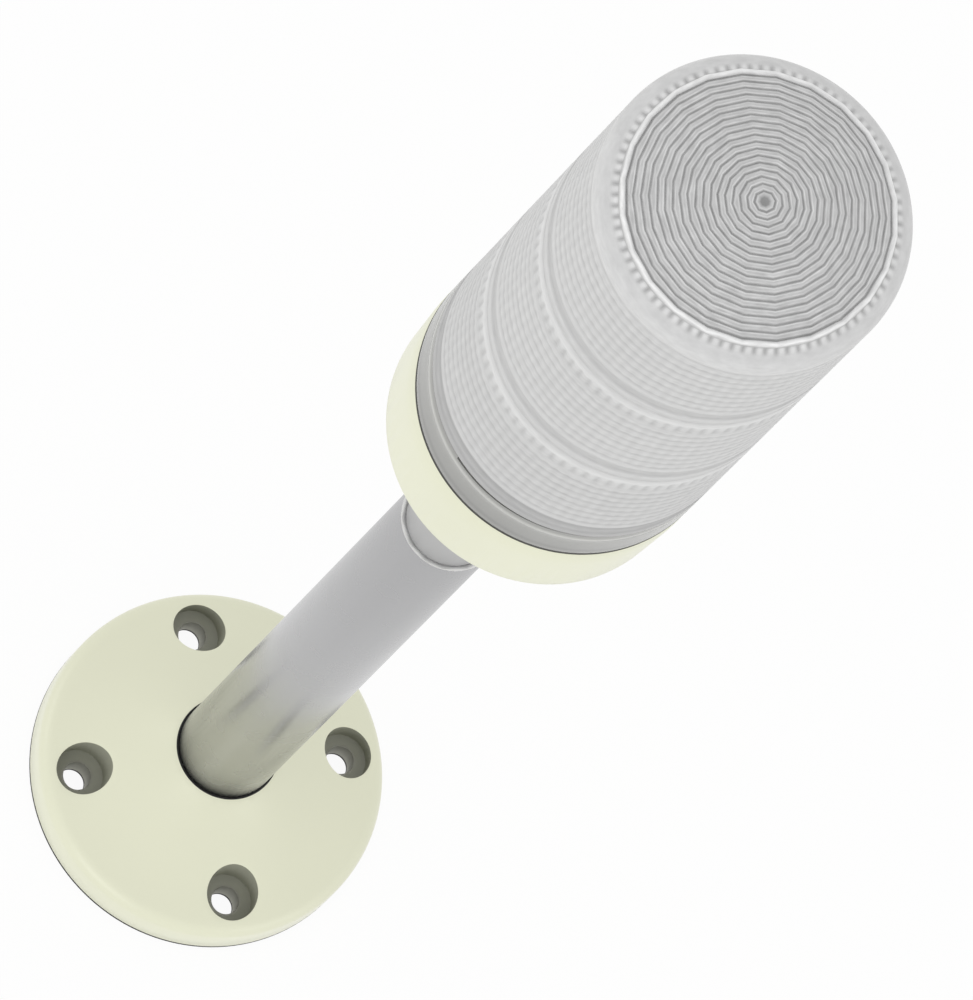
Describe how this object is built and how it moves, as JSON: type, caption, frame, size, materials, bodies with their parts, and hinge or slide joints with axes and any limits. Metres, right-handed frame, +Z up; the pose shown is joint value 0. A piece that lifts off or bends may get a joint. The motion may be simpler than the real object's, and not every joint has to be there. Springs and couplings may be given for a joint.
{
  "type": "stack light",
  "caption": "Signal tower light: clear ribbed twist-lock tiers under a domed top, on a tubular pole with a round screw-down mounting flange.",
  "frame": {"origin": "centre of the mounting face, the underside of the flange gasket", "axes": "+Z up along the pole; the four mounting holes lie on +X, +Y, -X and -Y"},
  "size_m": [0.07, 0.07, 0.4134],
  "materials": {
    "black_rubber": "matt synthetic rubber",
    "cream_plastic": "cream moulded plastic, fine satin texture",
    "steel": "zinc-plated steel",
    "aluminium": "satin anodised aluminium tube",
    "grey_plastic": "grey moulded plastic",
    "green_plastic": "green moulded terminal housing",
    "circuit_board": "glass-fibre circuit board with lacquer",
    "clear_plastic": "clear polycarbonate, faintly smoked",
    "frosted_plastic": "prismatic polycarbonate, frosted by its ribs",
    "white_plastic": "white moulded plastic",
    "led_resin": "diode resin",
    "brass": "plated contact metal"
  },
  "bodies": {
    "base": {"flange_gasket": "black_rubber", "mounting_flange": "cream_plastic", "screw_sleeves": "steel", "tube_seal": "black_rubber", "pole_tube": "aluminium", "tube_set_screw": "steel", "pole_adapter": "grey_plastic", "neck_screw": "steel", "base_cup": "cream_plastic", "lock_nut": "grey_plastic", "terminal_block": "green_plastic", "base_board": "circuit_board", "base_seal": "black_rubber", "socket_ring": "clear_plastic"},
    "tier_1": {"lens_1": "frosted_plastic", "holder_1": "white_plastic", "led_column_1": "white_plastic", "led_boards_1": "circuit_board", "leds_1": "led_resin", "contact_pins_1": "brass", "contact_board_1": "circuit_board"},
    "tier_2": {"lens_2": "frosted_plastic", "holder_2": "white_plastic", "led_column_2": "white_plastic", "led_boards_2": "circuit_board", "leds_2": "led_resin", "contact_pins_2": "brass", "contact_board_2": "circuit_board"},
    "tier_3": {"lens_3": "frosted_plastic", "holder_3": "white_plastic", "led_column_3": "white_plastic", "led_boards_3": "circuit_board", "leds_3": "led_resin", "contact_pins_3": "brass"}
  },
  "joints": [
    {"name": "tier_1_twist_lock", "type": "hinge", "parent": "base", "child": "tier_1", "pos_m": [0, 0, 0.2923], "axis": [0, 0, 1], "range_deg": [0, 18]},
    {"name": "tier_2_twist_lock", "type": "hinge", "parent": "tier_1", "child": "tier_2", "pos_m": [0, 0, 0.3316], "axis": [0, 0, 1], "range_deg": [0, 18]},
    {"name": "tier_3_twist_lock", "type": "hinge", "parent": "tier_2", "child": "tier_3", "pos_m": [0, 0, 0.3709], "axis": [0, 0, 1], "range_deg": [0, 18]}
  ]
}
